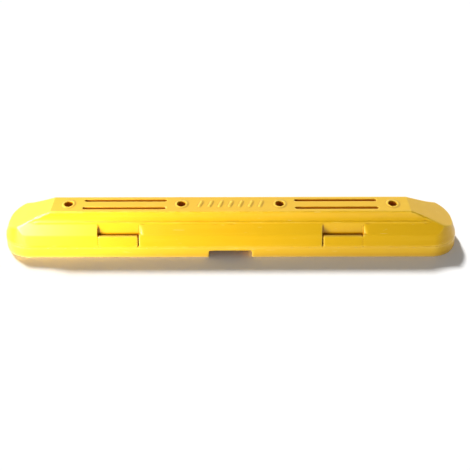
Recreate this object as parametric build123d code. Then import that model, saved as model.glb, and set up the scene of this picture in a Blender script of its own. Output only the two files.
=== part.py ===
from build123d import *
import math
import os

# Parking wheel stop: a hollow moulded polyethylene block that lies across the head of a parking bay,
# with four deep fixing tubes and a loose expansion anchor standing in each tube.
# Millimetres. X runs along the stop, Y across it, Z up. The origin is the middle of the footprint.

# ---- driving dimensions: the moulded body -------------------------------------------------------
LENGTH = 1200.0             # overall, along the ground
WIDTH = 172.0               # overall, across the ground
HEIGHT = 110.0              # ground to the rims of the fixing tubes
RELIEF = 1.5                # tube rims and grip bars stand this far above the deck
WALL = 6.0                  # moulded wall
DECK = HEIGHT - RELIEF      # height of the flat top

FOOT_HEIGHT = 31.5          # foot band
FOOT_SETBACK = 3.7          # the foot band leans in this far by its top
FOOT_CORNER = 78.0          # plan radius of the corners at the ground
SIDE_LEAN = 33.6            # degrees from upright, long sides above the foot band
END_LEAN = 26.0             # degrees from upright, ends above the foot band
UPPER_CORNER = 41.0         # plan radius the steep wall's corners would reach at crease height
SHOULDER_HEIGHT = 56.7      # where the steep wall turns over into the slope
CREASE_OUT = 42.6           # middle of the stop to the shallow crease along each side
CREASE_HEIGHT = 82.0        # ground to the crease
DECK_WIDTH = 63.0           # flat top, across
DECK_SETBACK = 139.0        # end of the stop back to the end of the flat top
NOSE_HEIGHT = 64.0          # sloping end plane: its height where it meets the end wall
NOSE_SETBACK = 24.0         # end of the stop back to the end plane at that height
EDGE_ROUND = 6.0            # moulded radius of the upper edges

# ---- features of the body -----------------------------------------------------------------------
TUBE_SPACING = 292.0        # outer tube to the inner tube beside it
INNER_TUBES = 254.0         # between the two inner tubes
TUBE_BORE = 22.0            # wide upper bore of a fixing tube
TUBE_FLOOR = 20.0           # thickness of plastic under the wide bore
RIM_WIDTH = 5.0             # width of the raised rim around a bore
RIM_ROUND = 1.3             # rounded outer edge of a rim
FLOOR_CLEARANCE = 0.5       # radial, anchor sleeve in the hole through the tube floor

GROOVE_LENGTH = 214.0       # long groove in the deck, over its round ends
GROOVE_WIDTH = 8.0
GROOVE_DEPTH = 9.0
GROOVE_OUT = 15.8           # middle of the deck to a groove

POCKET_SPACING = 577.0      # between the middles of the two pockets in one side
POCKET_LENGTH = 106.0       # along the stop
POCKET_TOP = 79.0           # ground to the top of the pocket
POCKET_DEPTH = 12.0         # shoulder line to the back wall, at shoulder height
BLOCK_GAP = 3.0             # slit at each end of the pocket block
BLOCK_BACK_GAP = 6.0        # slit behind the pocket block
BLOCK_DROP = 1.5            # top of the block below the shoulder line
BLOCK_ROUND = 2.0           # rounded ends of the block

CHANNEL_LENGTH = 112.0      # drainage channel under the stop, along X
CHANNEL_HEIGHT = 20.0
CHANNEL_ROUND = 6.0
VENT_BORE = 8.0             # moulding vent in the base
VENT_ALONG = 200.0
VENT_ACROSS = 45.0

BAR_COUNT = 7               # raised grip bars in the middle of the deck
BAR_PITCH = 26.0
BAR_WIDTH = 6.0
BAR_LENGTH = 26.0
BAR_SLANT = 18.0            # degrees
BAR_CORNER = 2.7            # plan radius of a bar's corners
BAR_ROUND = 0.9             # rounded top edge of a bar

OVERLAP = 1.0               # a joined feature runs this far into the body
RUN_OUT = 50.0              # sloping sections are drawn this far past the block they trim

# ---- driving dimensions: one expansion anchor ---------------------------------------------------
BOLT_DIAMETER = 10.0
BOLT_LENGTH = 70.0          # under the head
HEAD_ACROSS = 17.0          # across the flats
HEAD_HEIGHT = 6.4
TIP_BEVEL = 1.0
THREAD_GAP = 0.05           # radial, bolt in its cone nut
HOLE_GAP = 0.3              # radial, bolt in washers and sleeve
SPRING_WASHER_OUTER = 18.0
SPRING_WASHER_HEIGHT = 2.5
SPRING_WASHER_SPLIT = 1.2
SPLIT_SLANT = 25.0          # degrees
FLAT_WASHER_OUTER = 20.0
FLAT_WASHER_HEIGHT = 2.0
SLEEVE_OUTER = 14.0
SLEEVE_LENGTH = 50.0
SLEEVE_SLITS = 4
SLIT_TURN = 45.0            # degrees, X axis to the first slit
SLIT_WIDTH = 1.2
SLIT_LENGTH = 22.0
NUT_CONE_LENGTH = 8.0       # tapered top of the cone nut, inside the sleeve
NUT_TIP = 0.4               # anchor's lowest point above the ground while it stands in its tube

ON_BASE = (Align.CENTER, Align.CENTER, Align.MIN)
UNDER_TOP = (Align.CENTER, Align.CENTER, Align.MAX)
TUBE_PLACES = [sx * (INNER_TUBES / 2 + n * TUBE_SPACING) for sx in (-1, 1) for n in (0, 1)]
TUBE_PLACES.sort()
GROOVE_PLACES = [sx * (INNER_TUBES / 2 + TUBE_SPACING / 2) for sx in (-1, 1)]
POCKET_PLACES = [sx * POCKET_SPACING / 2 for sx in (-1, 1)]


def lean(degrees, rise):
    """How far a leaning wall moves in over a rise."""
    return rise * math.tan(math.radians(degrees))


SHOULDER_OUT = WIDTH / 2 - FOOT_SETBACK - lean(SIDE_LEAN, SHOULDER_HEIGHT - FOOT_HEIGHT)
SLOPE_RUN = (SHOULDER_OUT - CREASE_OUT) / (CREASE_HEIGHT - SHOULDER_HEIGHT)


# ---- outer form ---------------------------------------------------------------------------------
def level(setback_x, setback_y, radius, z):
    """One rounded-rectangle outline of the stop at height z."""
    return Plane.XY.offset(z) * RectangleRounded(LENGTH - 2 * setback_x, WIDTH - 2 * setback_y, radius)


def walls(inset):
    """Foot band and steep wall, drawn in by inset, then straight up from crease height."""
    rise = CREASE_HEIGHT - FOOT_HEIGHT
    upper_x = FOOT_SETBACK + lean(END_LEAN, rise) + inset
    upper_y = FOOT_SETBACK + lean(SIDE_LEAN, rise) + inset
    foot_top = level(FOOT_SETBACK + inset, FOOT_SETBACK + inset, FOOT_CORNER - inset, FOOT_HEIGHT)
    upper = level(upper_x, upper_y, UPPER_CORNER - inset, CREASE_HEIGHT)
    foot = loft([level(inset, inset, FOOT_CORNER - inset, 0), foot_top], ruled=True)
    return foot + loft([foot_top, upper], ruled=True) + extrude(upper, amount=HEIGHT - CREASE_HEIGHT)


def mirrored(points):
    """Close a right-hand outline with its mirror image."""
    return [(-a, z) for a, z in reversed(points)] + points


def roof(inset):
    """Section across the stop: deck, crease and slope, carried out past the shoulder."""
    far = SHOULDER_OUT + RUN_OUT
    outline = [(DECK_WIDTH / 2, DECK), (CREASE_OUT, CREASE_HEIGHT),
               (far, SHOULDER_HEIGHT - RUN_OUT / SLOPE_RUN), (far, -HEIGHT)]
    section = offset(Polygon(*mirrored(outline), align=None), -inset, kind=Kind.INTERSECTION)
    return extrude(Plane.YZ * section, amount=LENGTH, both=True)


def end_slopes(inset):
    """Profile along the stop: deck and the plane that falls away at each end."""
    deck_end = LENGTH / 2 - DECK_SETBACK
    fall = (DECK - NOSE_HEIGHT) / (DECK_SETBACK - NOSE_SETBACK)
    far = LENGTH / 2 - NOSE_SETBACK + RUN_OUT
    outline = [(deck_end, DECK), (far, NOSE_HEIGHT - RUN_OUT * fall), (far, -HEIGHT)]
    profile = offset(Polygon(*mirrored(outline), align=None), -inset, kind=Kind.INTERSECTION)
    return extrude(Plane.XZ * profile, amount=WIDTH, both=True)


def solid_form(inset=0.0):
    """The whole block without its features, or the space inside its wall."""
    return walls(inset) & roof(inset) & end_slopes(inset)


def rounded_form():
    form = solid_form().solid()
    upper = [e for e in form.edges() if e.center().Z > FOOT_HEIGHT + EDGE_ROUND]
    return form.fillet(EDGE_ROUND, upper)


# ---- features -----------------------------------------------------------------------------------
def tubes(extra):
    """Wide bores of the fixing tubes, thickened by extra."""
    radius = TUBE_BORE / 2 + extra
    floor = TUBE_FLOOR - extra
    column = Cylinder(radius, HEIGHT - floor, align=ON_BASE)
    return [Pos(x, 0, floor) * column for x in TUBE_PLACES]


def floor_holes():
    bore = Cylinder(SLEEVE_OUTER / 2 + FLOOR_CLEARANCE, 3 * TUBE_FLOOR)
    return [Pos(x, 0, 0) * bore for x in TUBE_PLACES]


def tube_rims():
    outer = TUBE_BORE / 2 + RIM_WIDTH
    rim = Cylinder(outer, RELIEF + OVERLAP, align=UNDER_TOP)
    rim = fillet(rim.edges().sort_by(Axis.Z)[-1], RIM_ROUND)
    return [Pos(x, 0, HEIGHT) * rim for x in TUBE_PLACES]


def grooves(extra):
    """Long round-ended grooves, two side by side in each half of the deck."""
    depth = GROOVE_DEPTH + extra
    slot = SlotOverall(GROOVE_LENGTH + 2 * extra, GROOVE_WIDTH + 2 * extra)
    cut = extrude(Plane.XY.offset(DECK - depth) * slot, amount=depth + RELIEF)
    return [Pos(x, sy * GROOVE_OUT, 0) * cut for x in GROOVE_PLACES for sy in (-1, 1)]


def front_prism(points, length):
    """A section (out, up) run along X on the front of the stop (-Y)."""
    face = Plane.YZ * Polygon(*[(-out, up) for out, up in points], align=None)
    return extrude(face, amount=length / 2, both=True)


def pocket(extra):
    """Recess that deepens from its top down to shoulder height, with a slit on below it."""
    top_out = CREASE_OUT + (CREASE_HEIGHT - POCKET_TOP) * SLOPE_RUN - extra
    back = SHOULDER_OUT - POCKET_DEPTH - extra
    points = [(top_out, POCKET_TOP + extra), (back, SHOULDER_HEIGHT), (back, FOOT_HEIGHT - extra),
              (WIDTH, FOOT_HEIGHT - extra), (WIDTH, POCKET_TOP + extra)]
    return front_prism(points, POCKET_LENGTH + 2 * extra)


def pocket_block():
    """Block left standing in the lower half of a pocket; the outer form trims its face."""
    back = SHOULDER_OUT - POCKET_DEPTH + BLOCK_BACK_GAP
    top = SHOULDER_HEIGHT - BLOCK_DROP
    root = FOOT_HEIGHT - BLOCK_GAP
    points = [(back, root), (back, top), (WIDTH, top), (WIDTH, root)]
    block = front_prism(points, POCKET_LENGTH - 2 * BLOCK_GAP)
    rounded = block.edges().filter_by(Axis.Y).group_by(Axis.Z)[-1]
    return fillet(rounded, BLOCK_ROUND)


def channel(extra):
    """Drainage channel that passes under the stop from side to side."""
    opening = Rectangle(CHANNEL_LENGTH + 2 * extra, 2 * (CHANNEL_HEIGHT + extra))
    opening = fillet(opening.vertices(), CHANNEL_ROUND + extra)
    return extrude(Plane.XZ * opening, amount=WIDTH, both=True)


def grip_bars():
    bar = Box(BAR_WIDTH, BAR_LENGTH, RELIEF + OVERLAP, align=UNDER_TOP)
    bar = fillet(bar.edges().filter_by(Axis.Z), BAR_CORNER)
    bar = fillet(bar.edges().group_by(Axis.Z)[-1], BAR_ROUND)
    middle = (BAR_COUNT - 1) / 2
    slanted = Rot(0, 0, -BAR_SLANT) * bar
    return [Pos((n - middle) * BAR_PITCH, 0, HEIGHT) * slanted for n in range(BAR_COUNT)]


def cavity():
    """Space inside the wall, kept clear of every tube, groove, pocket and channel."""
    space = solid_form(WALL) - Box(LENGTH, WIDTH, 2 * WALL)
    space -= tubes(WALL) + grooves(WALL) + [channel(WALL)]
    space -= [Pos(x, 0, 0) * pocket(WALL) for x in POCKET_PLACES]
    return space


def body_shell():
    form = rounded_form()
    body = form + tube_rims() + grip_bars()
    body -= grooves(0)
    body -= [Pos(x, 0, 0) * pocket(0) for x in POCKET_PLACES]
    body += [Pos(x, 0, 0) * pocket_block() & form for x in POCKET_PLACES]
    body -= cavity()
    body -= tubes(0) + floor_holes() + [channel(0)]
    body -= Pos(VENT_ALONG, VENT_ACROSS, 0) * Cylinder(VENT_BORE / 2, 4 * WALL)
    return body


# ---- expansion anchor, drawn on the Z axis as it stands in its tube ------------------------------
HEAD_BASE = NUT_TIP + BOLT_LENGTH
SPRING_BASE = HEAD_BASE - SPRING_WASHER_HEIGHT
FLAT_BASE = SPRING_BASE - FLAT_WASHER_HEIGHT
SLEEVE_BASE = FLAT_BASE - SLEEVE_LENGTH


def hex_bolt():
    shank = Pos(0, 0, NUT_TIP) * Cylinder(BOLT_DIAMETER / 2 - THREAD_GAP, BOLT_LENGTH, align=ON_BASE)
    head = extrude(RegularPolygon(HEAD_ACROSS / 2, 6, major_radius=False), amount=HEAD_HEIGHT)
    corner = HEAD_ACROSS / math.sqrt(3)
    bevel = Cylinder(corner, HEAD_HEIGHT, align=ON_BASE)
    bevel = chamfer(bevel.edges().sort_by(Axis.Z)[-1], corner - HEAD_ACROSS / 2)
    tip = shank.edges().sort_by(Axis.Z)[0]
    return chamfer(tip, TIP_BEVEL) + Pos(0, 0, HEAD_BASE) * (head & bevel)


def ring(outer, inner, height, base):
    return Pos(0, 0, base) * (Cylinder(outer, height, align=ON_BASE) - Cylinder(inner, 3 * height))


def spring_washer():
    bore = BOLT_DIAMETER / 2 + HOLE_GAP
    split = Box(SPRING_WASHER_OUTER, SPRING_WASHER_SPLIT, 6 * SPRING_WASHER_HEIGHT)
    split = Pos(SPRING_WASHER_OUTER / 2, 0, SPRING_BASE) * Rot(SPLIT_SLANT, 0, 0) * split
    return ring(SPRING_WASHER_OUTER / 2, bore, SPRING_WASHER_HEIGHT, SPRING_BASE) - split


def flat_washer():
    return ring(FLAT_WASHER_OUTER / 2, BOLT_DIAMETER / 2 + HOLE_GAP, FLAT_WASHER_HEIGHT, FLAT_BASE)


def nut_cone(gap):
    """Cone nut's outer form, with gap added all round."""
    shoulder = Cylinder(SLEEVE_OUTER / 2 + gap, SLEEVE_BASE - NUT_TIP, align=ON_BASE)
    top = BOLT_DIAMETER / 2 + 2 * HOLE_GAP
    cone = Cone(SLEEVE_OUTER / 2 + gap, top + gap, NUT_CONE_LENGTH, align=ON_BASE)
    return Pos(0, 0, NUT_TIP) * shoulder + Pos(0, 0, SLEEVE_BASE) * cone


def expansion_sleeve():
    sleeve = ring(SLEEVE_OUTER / 2, BOLT_DIAMETER / 2 + HOLE_GAP, SLEEVE_LENGTH, SLEEVE_BASE)
    sleeve -= nut_cone(THREAD_GAP)
    slit = Box(SLEEVE_OUTER, SLIT_WIDTH, SLIT_LENGTH, align=(Align.MIN, Align.CENTER, Align.MIN))
    for n in range(SLEEVE_SLITS):
        sleeve -= Pos(0, 0, SLEEVE_BASE) * Rot(0, 0, SLIT_TURN + n * 360 / SLEEVE_SLITS) * slit
    return sleeve


def cone_nut():
    return nut_cone(0) - Cylinder(BOLT_DIAMETER / 2, 4 * HEIGHT)


ANCHOR_PIECES = {
    "hex_bolt": hex_bolt,
    "spring_washer": spring_washer,
    "flat_washer": flat_washer,
    "expansion_sleeve": expansion_sleeve,
    "cone_nut": cone_nut,
}

os.makedirs("parts", exist_ok=True)
export_step(body_shell(), "parts/body_shell.step")
for name, make in ANCHOR_PIECES.items():
    piece = make()
    for number, x in enumerate(TUBE_PLACES, 1):
        export_step(Pos(x, 0, 0) * piece, f"parts/{name}_{number}.step")
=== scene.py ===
import math

import bmesh
import bpy
import numpy as np
from mathutils import Matrix, Vector


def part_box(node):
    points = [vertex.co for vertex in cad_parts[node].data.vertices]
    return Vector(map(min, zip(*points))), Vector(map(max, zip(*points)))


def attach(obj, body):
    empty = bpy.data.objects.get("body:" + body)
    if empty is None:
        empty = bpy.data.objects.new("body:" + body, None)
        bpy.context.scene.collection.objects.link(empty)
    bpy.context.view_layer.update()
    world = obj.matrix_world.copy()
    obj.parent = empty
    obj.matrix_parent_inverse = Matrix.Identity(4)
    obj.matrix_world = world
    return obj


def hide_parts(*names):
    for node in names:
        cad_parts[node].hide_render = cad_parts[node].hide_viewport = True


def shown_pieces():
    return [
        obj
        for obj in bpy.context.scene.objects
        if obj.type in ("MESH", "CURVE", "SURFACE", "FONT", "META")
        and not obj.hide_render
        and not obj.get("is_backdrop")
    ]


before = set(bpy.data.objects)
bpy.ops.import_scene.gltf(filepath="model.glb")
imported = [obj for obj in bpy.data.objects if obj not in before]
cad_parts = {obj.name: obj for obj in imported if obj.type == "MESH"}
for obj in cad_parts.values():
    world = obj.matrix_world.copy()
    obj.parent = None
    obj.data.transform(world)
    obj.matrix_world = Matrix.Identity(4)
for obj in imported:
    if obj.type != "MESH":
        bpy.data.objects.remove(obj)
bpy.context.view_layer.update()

# ---- Body ---------------------------------------------------------------------------------------
# The block is one hollow moulding in yellow polyethylene: foot band, steep wall, shallow slope, deck,
# four fixing tubes, grooves and pockets. Every corner leaves the mould softened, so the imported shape
# is refined to a fine skin, relaxed until its edges round over, and thinned where it is flat.
# The frame is in metres, and sizes are written in millimetres.
MM = 0.001
WELD = 0.01 * MM
SKIN_STEP = 1.5 * MM
SKIN_RELAX = 3
SKIN_SHARE = 0.22
BASE_WALL = 6 * MM
VENT_PLACE = (200 * MM, 45 * MM)
VENT_REACH = 4.4 * MM
VENT_DEPTH = 5 * MM

skin = bmesh.new()
skin.from_mesh(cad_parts["body_shell"].data)
bmesh.ops.remove_doubles(skin, verts=skin.verts, dist=WELD)


def at_vent(vert):
    """True on the wall of the moulding vent, the one passage between the outside and the hollow."""
    across = math.hypot(vert.co.x - VENT_PLACE[0], vert.co.y - VENT_PLACE[1])
    return across < VENT_REACH and vert.co.z < BASE_WALL + MM


# The hollow inside never shows, so it goes, and the vent becomes a short blind hole.
vent_wall = [face for face in skin.faces if all(at_vent(vert) for vert in face.verts)]
bmesh.ops.delete(skin, geom=vent_wall, context="FACES")
outside = {max(skin.verts, key=lambda vert: vert.co.x)}
reach = list(outside)
while reach:
    for edge in reach.pop().link_edges:
        for vert in edge.verts:
            if vert not in outside:
                outside.add(vert)
                reach.append(vert)
hollow = [vert for vert in skin.verts if vert not in outside]
bmesh.ops.delete(skin, geom=hollow, context="VERTS")
vent_lip = [edge for edge in skin.edges if edge.is_boundary]
raised = bmesh.ops.extrude_edge_only(skin, edges=vent_lip)["geom"]
for vert in raised:
    if isinstance(vert, bmesh.types.BMVert):
        vert.co.z += VENT_DEPTH
bmesh.ops.holes_fill(skin, edges=[edge for edge in skin.edges if edge.is_boundary])
bmesh.ops.recalc_face_normals(skin, faces=skin.faces)
body_mesh = bpy.data.meshes.new("body")
skin.to_mesh(body_mesh)
skin.free()
body = bpy.data.objects.new("body", body_mesh)
bpy.context.scene.collection.objects.link(body)
refine = body.modifiers.new("skin", "REMESH")
refine.mode = "VOXEL"
refine.voxel_size = SKIN_STEP
relax = body.modifiers.new("relax", "SMOOTH")
relax.factor = 0.5
relax.iterations = SKIN_RELAX


def settled(obj, name):
    """The object with its modifiers made real in a plain mesh, under a new name."""
    evaluated = obj.evaluated_get(bpy.context.evaluated_depsgraph_get())
    mesh = bpy.data.meshes.new_from_object(evaluated)
    mesh.name = name
    bpy.data.objects.remove(obj)
    plain = bpy.data.objects.new(name, mesh)
    bpy.context.scene.collection.objects.link(plain)
    return plain


body = settled(body, "body_skin")
points = np.empty(len(body.data.vertices) * 3, np.float32)
body.data.vertices.foreach_get("co", points)
points = points.reshape(-1, 3)
normals = np.empty(points.size, np.float32)
body.data.vertex_normals.foreach_get("vector", normals)
normals = normals.reshape(-1, 3)
side = np.abs(normals[:, 1])
rise = points[:, 2]
# The band under the deck is a shallow cove that ends in a small lip along the crease. It covers the
# faces that lean out to the long sides, clear of the deck, and fades out before the sloping ends.
CREASE = (42.6 * MM, 82 * MM)
BAND_TOP = 107 * MM
BAND_END = 512 * MM
BAND_FADE = 14 * MM
DECK_HALF = 30 * MM
LEANS_OUT = 0.35
COVE_DEPTH = 1.8 * MM
LIP_HEIGHT = 1.0 * MM
LIP_SPREAD = 2.2 * MM
band_end = np.clip((BAND_END - np.abs(points[:, 0])) / BAND_FADE, 0, 1)
band_end *= (np.abs(points[:, 1]) > DECK_HALF) & (side > LEANS_OUT)
across = np.clip((rise - CREASE[1]) / (BAND_TOP - CREASE[1]), 0, 1)
cove = -COVE_DEPTH * np.sin(math.pi * across)
lip = LIP_HEIGHT * np.exp(-((rise - CREASE[1]) / LIP_SPREAD) ** 2)
# The mould parts along the top of the foot band, which leaves a fine groove on the outer walls.
SEAM_HEIGHT = 31.5 * MM
SEAM_DEPTH = 0.9 * MM
SEAM_SPREAD = 1.6 * MM
SEAM_OUT = (560 * MM, 62 * MM)
STANDS_UP = 0.7
seam = -SEAM_DEPTH * np.exp(-((rise - SEAM_HEIGHT) / SEAM_SPREAD) ** 2)
seam *= (side + np.abs(normals[:, 0]) > STANDS_UP) & (np.abs(points[:, :2]) > SEAM_OUT).any(1)
points += normals * ((cove + lip) * band_end + seam)[:, None]
# The tubes are cored by steel pins, so they stay true: straight walls down to a square corner.
TUBE_ALONG = (-419 * MM, -127 * MM, 127 * MM, 419 * MM)
TUBE_RADIUS = 11 * MM
TUBE_FLOOR = 20 * MM
TUBE_MOUTH = 104 * MM
SLACK = 0.4 * MM
for along in TUBE_ALONG:
    arm = points[:, :2] - (along, 0)
    out = np.hypot(arm[:, 0], arm[:, 1])
    inside = (out < TUBE_RADIUS + MM) & (rise > TUBE_FLOOR - SLACK) & (rise < TUBE_MOUTH)
    wall = inside & (out > TUBE_RADIUS - SLACK)
    points[wall, :2] = (along, 0) + arm[wall] * (TUBE_RADIUS / out[wall])[:, None]
    points[inside & ~wall, 2] = TUBE_FLOOR
# The right-hand end of each pocket is swept out to the slope, so its edge is a soft round.
POCKET_ENDS = (-235.5 * MM, 341.5 * MM)
POCKET_DEPTH = 12 * MM
POCKET_TOP = 79 * MM
SWEEP = 14 * MM
SHOULDER = (65.6 * MM, 56.7 * MM)
SLOPE_INNER = -40 * MM
for end in POCKET_ENDS:
    along = np.clip((points[:, 0] - end) / SWEEP, 0, 1)
    slope = np.interp(rise, (SHOULDER[1], CREASE[1]), (SHOULDER[0], CREASE[0]))
    deep = np.interp(rise, (SHOULDER[1], POCKET_TOP), (POCKET_DEPTH, 0))
    sweep = deep * (1 - np.sqrt(1 - (1 - along) ** 2))
    near = (points[:, 0] > end - MM) & (along < 1) & (points[:, 1] < SLOPE_INNER)
    near &= (rise > SHOULDER[1] + MM) & (rise < POCKET_TOP)
    points[near, 1] = -np.minimum(-points[near, 1], (slope - sweep)[near])
body.data.vertices.foreach_set("co", points.ravel())
body.data.update()
thin = body.modifiers.new("thin", "DECIMATE")
thin.ratio = SKIN_SHARE
body = settled(body, "moulded_body")
body.data.polygons.foreach_set("use_smooth", [True] * len(body.data.polygons))


def linear(code):
    """A hex sRGB colour as linear red, green, blue and alpha."""
    parts = [int(code[i:i + 2], 16) / 255 for i in (1, 3, 5)]
    return [c / 12.92 if c <= 0.04045 else ((c + 0.055) / 1.055) ** 2.4 for c in parts] + [1.0]


def add(tree, kind, inputs=None, **settings):
    """One node with its settings; each input is a value or the socket that feeds it."""
    made = tree.nodes.new(kind)
    for name, value in settings.items():
        setattr(made, name, value)
    for key, value in (inputs or {}).items():
        if isinstance(value, bpy.types.NodeSocket):
            tree.links.new(value, made.inputs[key])
        else:
            made.inputs[key].default_value = value
    return made


def new_material(name):
    """An empty node material."""
    made = bpy.data.materials.new(name)
    made.use_nodes = True
    made.node_tree.nodes.clear()
    return made, made.node_tree


# How sharply each point of the skin stands out or sits in, for rubbed edges with a painted highlight and
# for painted shade in creases.
EDGE_BLUR = 2
positions = np.array([vert.co for vert in body.data.vertices])
facing = np.array([vert.normal for vert in body.data.vertices])
ends = np.array([edge.vertices for edge in body.data.edges])
run = positions[ends[:, 1]] - positions[ends[:, 0]]
bend = ((facing[ends[:, 1]] - facing[ends[:, 0]]) * run).sum(1) / np.maximum((run ** 2).sum(1), 1e-9)
count = np.bincount(ends.ravel(), minlength=len(positions))
turn = np.bincount(ends.ravel(), np.repeat(bend, 2), len(positions)) / np.maximum(count, 1)
for _ in range(EDGE_BLUR):
    pull = np.bincount(ends[:, 0], turn[ends[:, 1]], len(positions))
    pull += np.bincount(ends[:, 1], turn[ends[:, 0]], len(positions))
    turn = (turn + pull / np.maximum(count, 1)) / 2
EDGE_FULL = 120.0
stored = body.data.attributes.new("edge", "FLOAT", "POINT")
stored.data.foreach_set("value", np.clip(0.5 + turn / EDGE_FULL, 0, 1).astype(np.float32))
# How far each point lies down in a groove or tube of the deck, for the painted shade in them.
DECK_TOP = 107.9 * MM
SHADED_DEPTH = 2.5 * MM
DECK_REACH = (459 * MM, 27 * MM)
under_deck = (np.abs(positions[:, :2]) < DECK_REACH).all(1)
sunk = np.clip((DECK_TOP - positions[:, 2]) / SHADED_DEPTH, 0, 1) * under_deck
stored = body.data.attributes.new("sunk", "FLOAT", "POINT")
stored.data.foreach_set("value", sunk.astype(np.float32))

# Rotation-moulded polyethylene, coloured through: a waxy, slightly cloudy yellow with a soft sheen, faint
# flow streaks and rubbed pale edges, with painted highlights on edges and the foot and painted shade in
# creases, grooves and pockets.
polyethylene, tree = new_material("moulded_yellow_polyethylene")
place = add(tree, "ShaderNodeTexCoord").outputs["Object"]
edge = add(tree, "ShaderNodeAttribute", attribute_name="edge").outputs["Fac"]
split = add(tree, "ShaderNodeSeparateXYZ", {"Vector": place})
# The yellow drifts a little over about 140 mm.
tone = add(tree, "ShaderNodeTexNoise", {"Vector": place, "Scale": 1 / (140 * MM), "Detail": 3.0})
base = add(tree, "ShaderNodeMix", {"Factor": tone.outputs["Fac"], "A": linear("#E6AF00"),
           "B": linear("#ECB900")}, data_type="RGBA").outputs["Result"]
# Pale streaks lie along the stop, where melt flowed: 300 mm long, 9 mm high.
drawn = add(tree, "ShaderNodeMapping", {"Vector": place, "Scale": (0.03, 0.6, 1.0)}).outputs["Vector"]
flow = add(tree, "ShaderNodeTexNoise", {"Vector": drawn, "Scale": 1 / (9 * MM), "Detail": 2.0})
flow = add(tree, "ShaderNodeMapRange", {"Value": flow.outputs["Fac"], "From Min": 0.52, "From Max": 0.75,
           "To Max": 0.22})
base = add(tree, "ShaderNodeMix", {"Factor": flow.outputs["Result"], "A": base, "B": linear("#F2C52A")},
           data_type="RGBA").outputs["Result"]
# Rubbed edges go pale: partly wear, partly a painted highlight.
rubbed_and_highlit_edges = add(tree, "ShaderNodeMapRange", {"Value": edge, "From Min": 0.62, "From Max": 0.95,
             "To Max": 0.35})
base = add(tree, "ShaderNodeMix", {"Factor": rubbed_and_highlit_edges.outputs["Result"], "A": base, "B": linear("#F6D34A")},
           data_type="RGBA").outputs["Result"]
# Creases are darkened brown: painted shade.
painted_crease_shade = add(tree, "ShaderNodeMapRange", {"Value": edge, "From Min": 0.42, "From Max": 0.08, "To Max": 0.6})
base = add(tree, "ShaderNodeMix", {"Factor": painted_crease_shade.outputs["Result"], "A": base, "B": linear("#B06A00")},
           data_type="RGBA").outputs["Result"]
# The grooves and tubes are painted a deeper orange all the way down: painted shade.
sunk = add(tree, "ShaderNodeAttribute", attribute_name="sunk").outputs["Fac"]
base = add(tree, "ShaderNodeMix", {"Factor": sunk, "A": base, "B": linear("#D08600")},
           data_type="RGBA").outputs["Result"]
# Painted shade darkens grooves, slits and pockets: anything with less than 25 mm of open space above it.
closed = add(tree, "ShaderNodeAmbientOcclusion", {"Distance": 25 * MM}, samples=8)
painted_recess_shade = add(tree, "ShaderNodeMapRange", {"Value": closed.outputs["AO"], "From Min": 0.92, "From Max": 0.3,
             "To Max": 0.85})
base = add(tree, "ShaderNodeMix", {"Factor": painted_recess_shade.outputs["Result"], "A": base, "B": linear("#B26600")},
           data_type="RGBA").outputs["Result"]
# Faces that look up are painted paler: a painted reflection of the bright room.
up = add(tree, "ShaderNodeSeparateXYZ", {"Vector": add(tree, "ShaderNodeNewGeometry").outputs["Normal"]})
painted_sky_reflection = add(tree, "ShaderNodeMapRange", {"Value": up.outputs["Z"], "From Min": 0.8, "From Max": 0.96,
           "To Max": 0.16})
base = add(tree, "ShaderNodeMix", {"Factor": painted_sky_reflection.outputs["Result"], "A": base, "B": linear("#DCD098")},
           data_type="RGBA").outputs["Result"]
# The foot band is painted paler than the rest, a painted reflection of the floor, most of all along the
# trimmed base edge, 6 mm high, where it is a painted highlight.
painted_floor_reflection = add(tree, "ShaderNodeMapRange", {"Value": split.outputs["Z"], "From Min": 7 * MM,
            "From Max": 1 * MM, "To Min": 0.0, "To Max": 0.3})
band = add(tree, "ShaderNodeMapRange", {"Value": split.outputs["Z"], "From Min": 33 * MM,
           "From Max": 30 * MM, "To Max": 0.08})
painted_floor_reflection = add(tree, "ShaderNodeMath", {0: painted_floor_reflection.outputs["Result"], 1: band.outputs["Result"]},
            operation="ADD")
base = add(tree, "ShaderNodeMix", {"Factor": painted_floor_reflection.outputs["Value"], "A": base, "B": linear("#F3E08C")},
           data_type="RGBA").outputs["Result"]
# Short scuffs, 25 mm long and 1.5 mm wide, only low down where tyres and kerbs touch.
tilted = add(tree, "ShaderNodeMapping", {"Vector": place, "Rotation": (0.0, 0.12, 0.1),
             "Scale": (0.07, 1.0, 1.0)}).outputs["Vector"]
scuff = add(tree, "ShaderNodeTexNoise", {"Vector": tilted, "Scale": 1 / (3 * MM), "Detail": 1.0})
low = add(tree, "ShaderNodeMapRange", {"Value": split.outputs["Z"], "From Min": 65 * MM, "From Max": 5 * MM,
          "To Min": 0.76, "To Max": 0.7})
scuff = add(tree, "ShaderNodeMapRange", {"Value": scuff.outputs["Fac"], "From Min": low.outputs["Result"],
            "From Max": 0.8, "To Max": 0.5}).outputs["Result"]
base = add(tree, "ShaderNodeMix", {"Factor": scuff, "A": base, "B": linear("#F7E08A")},
           data_type="RGBA").outputs["Result"]
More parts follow.
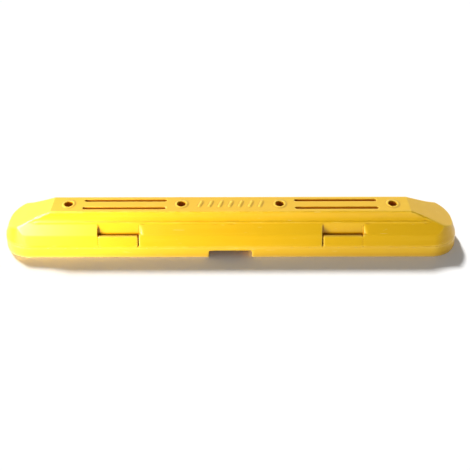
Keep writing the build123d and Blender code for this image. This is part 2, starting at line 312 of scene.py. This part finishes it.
# A moulded skin has a faint orange peel. The real one is about 1 mm across, and 5 mm is as coarse as
# it needs to be to show. The sheen varies over patches of 30 mm, and scuffs are duller.
peel = add(tree, "ShaderNodeTexNoise", {"Vector": place, "Scale": 1 / (5 * MM), "Detail": 2.0})
bump = add(tree, "ShaderNodeBump", {"Strength": 0.12, "Distance": 0.4 * MM, "Height": peel.outputs["Fac"]})
speck = add(tree, "ShaderNodeTexNoise", {"Vector": place, "Scale": 1 / (30 * MM), "Detail": 4.0})
rough = add(tree, "ShaderNodeMapRange", {"Value": speck.outputs["Fac"], "To Min": 0.34, "To Max": 0.5})
rough = add(tree, "ShaderNodeMath", {0: rough.outputs["Result"], 1: scuff}, operation="ADD")
shader = add(tree, "ShaderNodeBsdfPrincipled", {"Base Color": base, "Roughness": rough.outputs["Value"],
             "Normal": bump.outputs["Normal"], "IOR": 1.51, "Specular IOR Level": 0.3,
             "Coat Weight": 0.3, "Coat Roughness": 0.16})
add(tree, "ShaderNodeOutputMaterial", {"Surface": shader.outputs["BSDF"]})
body.data.materials.clear()
body.data.materials.append(polyethylene)
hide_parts("body_shell")
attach(body, "shell")

# ---- Mould flash --------------------------------------------------------------------------------
# The mould parts along the top of the foot band. Slivers of squeezed plastic, 4 to 9 mm long, are left
# along that line where the flash was not scraped off. They are the body's own plastic, thin and pale.

# Polyethylene squeezed thin and torn off: paler and duller than the skin, with 4 mm stress marks.
flash_plastic, tree = new_material("scraped_polyethylene_flash")
place = add(tree, "ShaderNodeTexCoord").outputs["Object"]
tone = add(tree, "ShaderNodeTexNoise", {"Vector": place, "Scale": 1 / (4 * MM), "Detail": 2.0})
mixed = add(tree, "ShaderNodeMix", {"Factor": tone.outputs["Fac"], "A": linear("#EBC22E"),
            "B": linear("#F6DF7A")}, data_type="RGBA")
bump = add(tree, "ShaderNodeBump", {"Strength": 0.3, "Distance": 0.2 * MM, "Height": tone.outputs["Fac"]})
shader = add(tree, "ShaderNodeBsdfPrincipled", {"Base Color": mixed.outputs["Result"], "Roughness": 0.5,
             "Normal": bump.outputs["Normal"], "IOR": 1.51})
add(tree, "ShaderNodeOutputMaterial", {"Surface": shader.outputs["BSDF"]})


def geometry_tree(name, sizes):
    """An empty geometry tree with one named input for each size."""
    made = bpy.data.node_groups.new(name, "GeometryNodeTree")
    made.interface.new_socket("Geometry", in_out="OUTPUT", socket_type="NodeSocketGeometry")
    for label, value in sizes.items():
        kind = "NodeSocketInt" if isinstance(value, int) else "NodeSocketFloat"
        made.interface.new_socket(label, in_out="INPUT", socket_type=kind)
    return made, made.nodes.new("NodeGroupInput").outputs


def grown(tree, sizes, name):
    """The tree's result as a plain mesh object."""
    start = bpy.data.objects.new(name + "_start", bpy.data.meshes.new(name + "_start"))
    bpy.context.scene.collection.objects.link(start)
    modifier = start.modifiers.new("grow", "NODES")
    modifier.node_group = tree
    for item in tree.interface.items_tree:
        if item.in_out == "INPUT":
            modifier[item.identifier] = sizes[item.name]
    return settled(start, name)


FLASH = {"Seam Length": 1193.4 * MM, "Seam Width": 165.4 * MM, "Corner": 78 * MM, "Height": 29.5 * MM,
         "Spacing": 15 * MM, "Share": 0.2, "Shortest": 2.0 * MM, "Longest": 4.5 * MM, "Thick": 0.45 * MM,
         "Seed": 7}
tree, size = geometry_tree("flash_along_the_parting_line", FLASH)
seam = add(tree, "GeometryNodeCurvePrimitiveQuadrilateral", {"Width": size["Seam Length"],
           "Height": size["Seam Width"]})
seam = add(tree, "GeometryNodeFilletCurve", {"Curve": seam.outputs["Curve"], "Radius": size["Corner"],
           "Count": 16}, mode="POLY")
lift = add(tree, "ShaderNodeCombineXYZ", {"Z": size["Height"]})
seam = add(tree, "GeometryNodeTransform", {"Geometry": seam.outputs["Curve"],
           "Translation": lift.outputs["Vector"]})
spots = add(tree, "GeometryNodeCurveToPoints", {"Curve": seam.outputs["Geometry"],
            "Length": size["Spacing"]}, mode="LENGTH")
kept = add(tree, "FunctionNodeRandomValue", {"Probability": size["Share"], "Seed": size["Seed"]},
           data_type="BOOLEAN")
long = add(tree, "FunctionNodeRandomValue", {2: size["Shortest"], 3: size["Longest"], "Seed": size["Seed"]},
           data_type="FLOAT")
scale = add(tree, "ShaderNodeCombineXYZ", {"X": size["Thick"], "Y": size["Thick"], "Z": long.outputs[1]})
sliver = add(tree, "GeometryNodeMeshIcoSphere", {"Radius": 1.0, "Subdivisions": 1})
placed = add(tree, "GeometryNodeInstanceOnPoints", {"Points": spots.outputs["Points"],
             "Selection": kept.outputs[3], "Instance": sliver.outputs["Mesh"],
             "Rotation": spots.outputs["Rotation"], "Scale": scale.outputs["Vector"]})
real = add(tree, "GeometryNodeRealizeInstances", {"Geometry": placed.outputs["Instances"]})
done = add(tree, "GeometryNodeSetMaterial", {"Geometry": real.outputs["Geometry"],
           "Material": flash_plastic})
add(tree, "NodeGroupOutput", {"Geometry": done.outputs["Geometry"]})
flash = grown(tree, FLASH, "parting_flash")
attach(flash, "shell")

# ---- Cone nuts, sleeves and washers -------------------------------------------------------------
# Each anchor is turned and pressed from mild steel and bright zinc plated: a cone nut, a slit sleeve,
# a flat washer and a spring washer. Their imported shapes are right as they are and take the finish.

# Bright zinc over turned steel: a cool silvery metal with cloudy patches and fine rings.
zinc, tree = new_material("zinc_plated_steel")
place = add(tree, "ShaderNodeTexCoord").outputs["Object"]
# Plating clouds are about 6 mm across and shift between blue-grey and straw.
cloud = add(tree, "ShaderNodeTexNoise", {"Vector": place, "Scale": 1 / (6 * MM), "Detail": 3.0})
mixed = add(tree, "ShaderNodeMix", {"Factor": cloud.outputs["Fac"], "A": linear("#AEB4BA"),
            "B": linear("#D8D2BE")}, data_type="RGBA")
# Turning marks run round the part, 0.8 mm apart. At a scale of 1 the wave repeats every tau / 20.
turned = add(tree, "ShaderNodeTexWave", {"Vector": place, "Scale": math.tau / 20 / (0.8 * MM),
             "Distortion": 1.0}, bands_direction="Z")
bump = add(tree, "ShaderNodeBump", {"Strength": 0.15, "Distance": 0.05 * MM,
           "Height": turned.outputs["Fac"]})
rough = add(tree, "ShaderNodeMapRange", {"Value": cloud.outputs["Fac"], "To Min": 0.22, "To Max": 0.42})
shader = add(tree, "ShaderNodeBsdfPrincipled", {"Base Color": mixed.outputs["Result"],
             "Roughness": rough.outputs["Result"], "Normal": bump.outputs["Normal"], "Metallic": 1.0})
add(tree, "ShaderNodeOutputMaterial", {"Surface": shader.outputs["BSDF"]})
for name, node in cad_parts.items():
    if not name.startswith(("body_shell", "hex_bolt")):
        node.data.materials.clear()
        node.data.materials.append(zinc)

# ---- Bolts --------------------------------------------------------------------------------------
# An M10 hexagon bolt draws the cone nut up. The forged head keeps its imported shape, and the shank gets
# its rolled thread: 1.5 mm pitch, 0.9 mm deep, from the tip to just under the head.
# Its ridge is a three-sided profile swept along a helix, 0.62 of the depth from middle to corner.
HEAD_BASE = 70.4 * MM
BOLT_TIP = 0.4 * MM
RIDGE_SHARE = 0.62
RIDGE_SIDES = 3
THREAD = {"Crest": 4.95 * MM, "Depth": 0.9 * MM, "Pitch": 1.5 * MM, "Length": 66 * MM,
          "Runout": 4.2 * MM, "Sides": 32}
tree, size = geometry_tree("rolled_thread", THREAD)
half = add(tree, "ShaderNodeMath", {0: size["Depth"], 1: RIDGE_SHARE},
           operation="MULTIPLY").outputs["Value"]
line = add(tree, "ShaderNodeMath", {0: size["Crest"], 1: half}, operation="SUBTRACT").outputs["Value"]
root = add(tree, "ShaderNodeMath", {0: size["Crest"], 1: size["Depth"]},
           operation="SUBTRACT").outputs["Value"]
turns = add(tree, "ShaderNodeMath", {0: size["Length"], 1: size["Pitch"]}, operation="DIVIDE")
helix = add(tree, "GeometryNodeCurveSpiral", {"Resolution": size["Sides"],
            "Rotations": turns.outputs["Value"], "Start Radius": line, "End Radius": line,
            "Height": size["Length"]})
helix = add(tree, "GeometryNodeSetCurveNormal", {"Curve": helix.outputs["Curve"]}, mode="Z_UP")
ridge = add(tree, "GeometryNodeCurvePrimitiveCircle", {"Resolution": RIDGE_SIDES, "Radius": half},
            mode="RADIUS")
ridge = add(tree, "GeometryNodeCurveToMesh", {"Curve": helix.outputs["Curve"],
            "Profile Curve": ridge.outputs["Curve"], "Fill Caps": True})
full = add(tree, "ShaderNodeMath", {0: size["Length"], 1: size["Runout"]}, operation="ADD").outputs["Value"]
core = add(tree, "GeometryNodeMeshCylinder", {"Vertices": size["Sides"], "Radius": root, "Depth": full})
middle = add(tree, "ShaderNodeMath", {0: full, 1: 0.5}, operation="MULTIPLY").outputs["Value"]
lift = add(tree, "ShaderNodeCombineXYZ", {"Z": middle})
core = add(tree, "GeometryNodeTransform", {"Geometry": core.outputs["Mesh"],
           "Translation": lift.outputs["Vector"]})
joined = add(tree, "GeometryNodeJoinGeometry")
tree.links.new(ridge.outputs["Mesh"], joined.inputs["Geometry"])
tree.links.new(core.outputs["Geometry"], joined.inputs["Geometry"])
real = add(tree, "GeometryNodeRealizeInstances", {"Geometry": joined.outputs["Geometry"]})
done = add(tree, "GeometryNodeSetMaterial", {"Geometry": real.outputs["Geometry"], "Material": zinc})
add(tree, "NodeGroupOutput", {"Geometry": done.outputs["Geometry"]})
for number in (1, 2, 3, 4):
    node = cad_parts["hex_bolt_%d" % number]
    low_corner, high_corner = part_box(node.name)
    shank = grown(tree, THREAD, "shank_%d" % number)
    shank.data.transform(Matrix.Translation(((low_corner.x + high_corner.x) / 2, 0, BOLT_TIP)))
    made = bmesh.new()
    made.from_mesh(node.data)
    bmesh.ops.remove_doubles(made, verts=made.verts, dist=WELD)
    bmesh.ops.bisect_plane(made, geom=made.verts[:] + made.edges[:] + made.faces[:],
                           plane_co=(0, 0, HEAD_BASE + WELD), plane_no=(0, 0, 1), clear_inner=True)
    bmesh.ops.holes_fill(made, edges=[edge for edge in made.edges if edge.is_boundary])
    made.from_mesh(shank.data)
    bolt_mesh = bpy.data.meshes.new("bolt_%d" % number)
    made.to_mesh(bolt_mesh)
    made.free()
    bpy.data.objects.remove(shank)
    bolt_mesh.materials.append(zinc)
    bolt = bpy.data.objects.new("threaded_bolt_%d" % number, bolt_mesh)
    bpy.context.scene.collection.objects.link(bolt)
    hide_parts(node.name)
    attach(bolt, "anchor_%d" % number)

# ---- Studio -------------------------------------------------------------------------------------
# The stop stands on a plain white floor that runs out of sight, in soft white light. A sun from behind
# throws the shadow forward, and two lamps on the left light that end of the stop.
FLOOR_REACH = 60.0
floor_mesh = bpy.data.meshes.new("floor")
corners = [(-1, -1), (1, -1), (1, 1), (-1, 1)]
floor_mesh.from_pydata([(x * FLOOR_REACH, y * FLOOR_REACH, 0) for x, y in corners], [], [(0, 1, 2, 3)])
floor = bpy.data.objects.new("floor", floor_mesh)
bpy.context.scene.collection.objects.link(floor)
# Matt white card: no sheen, only a soft even shadow.
card, tree = new_material("white_card")
shader = add(tree, "ShaderNodeBsdfPrincipled", {"Base Color": linear("#FDFDFD"), "Roughness": 0.9,
             "Specular IOR Level": 0.1})
add(tree, "ShaderNodeOutputMaterial", {"Surface": shader.outputs["BSDF"]})
floor_mesh.materials.append(card)
floor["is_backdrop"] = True

world = bpy.data.worlds.new("soft_room")
world.use_nodes = True
tree = world.node_tree
tree.nodes.clear()
# The room is a white sweep near the floor line and darker overhead.
sky = add(tree, "ShaderNodeSeparateXYZ", {"Vector": add(tree, "ShaderNodeTexCoord").outputs["Generated"]})
glow = add(tree, "ShaderNodeMapRange", {"Value": sky.outputs["Z"], "From Min": 0.12, "From Max": 0.3,
           "To Min": 1.0, "To Max": 0.2}, interpolation_type="SMOOTHSTEP")
back = add(tree, "ShaderNodeBackground", {"Color": linear("#FFFFFF"), "Strength": glow.outputs["Result"]})
add(tree, "ShaderNodeOutputWorld", {"Surface": back.outputs["Background"]})
bpy.context.scene.world = world


def lamp(name, place, aim, size, watts, colour):
    """A square soft light at place, turned to aim."""
    data = bpy.data.lights.new(name, "AREA")
    data.size = size
    data.energy = watts
    data.color = linear(colour)[:3]
    made = bpy.data.objects.new(name, data)
    made.location = place
    made.rotation_euler = (Vector(aim) - Vector(place)).to_track_quat("-Z", "Y").to_euler()
    bpy.context.scene.collection.objects.link(made)
    return made


key = lamp("key", (-1.12, -0.64, 0.22), (-0.1, 0, 0.05), 0.6, 36.0, "#FFFFFF")
fill = lamp("fill", (2.2, -0.6, 0.5), (0.5, 0, 0.05), 1.0, 2.0, "#FFFFFF")
glint = lamp("glint", (-1.02, -0.62, 0.72), (-0.52, -0.05, 0.08), 0.25, 24.0, "#FFFFFF")
# The key and the fill bring out the colour only, and the glint adds only a gloss to the left end.
fill.visible_glossy = False
key.visible_glossy = False
glint.visible_diffuse = False
sun_data = bpy.data.lights.new("sun", "SUN")
sun_data.energy = 3.9
sun_data.angle = math.radians(7)
SUN_FROM = Vector((-0.3, 0.62, 0.6))
sun = bpy.data.objects.new("sun", sun_data)
sun.rotation_euler = SUN_FROM.to_track_quat("Z", "Y").to_euler()
sun.visible_glossy = False
bpy.context.scene.collection.objects.link(sun)
# The two lamps on the left light the stop and not the floor, so its shadow stays even.
lit = bpy.data.collections.new("lit_by_the_left_lamps")
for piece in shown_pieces():
    lit.objects.link(piece)
key.light_linking.receiver_collection = lit
glint.light_linking.receiver_collection = lit

# The camera stands in front of the stop and looks down 0.72 radians, as from head height nearby.
CAMERA_PLACE = (0.0112, -1.18905, 1.0443)
CAMERA_DOWN = 0.72
CAMERA_ROLL = -0.002
camera_data = bpy.data.cameras.new("camera")
camera_data.sensor_width = 36.0
camera_data.lens = 44.72
camera = bpy.data.objects.new("camera", camera_data)
camera.matrix_world = (Matrix.Translation(CAMERA_PLACE)
                       @ Matrix.Rotation(math.pi / 2 - CAMERA_DOWN, 4, "X")
                       @ Matrix.Rotation(CAMERA_ROLL, 4, "Z"))
bpy.context.scene.collection.objects.link(camera)
bpy.context.scene.camera = camera
bpy.context.scene.view_settings.view_transform = "Standard"
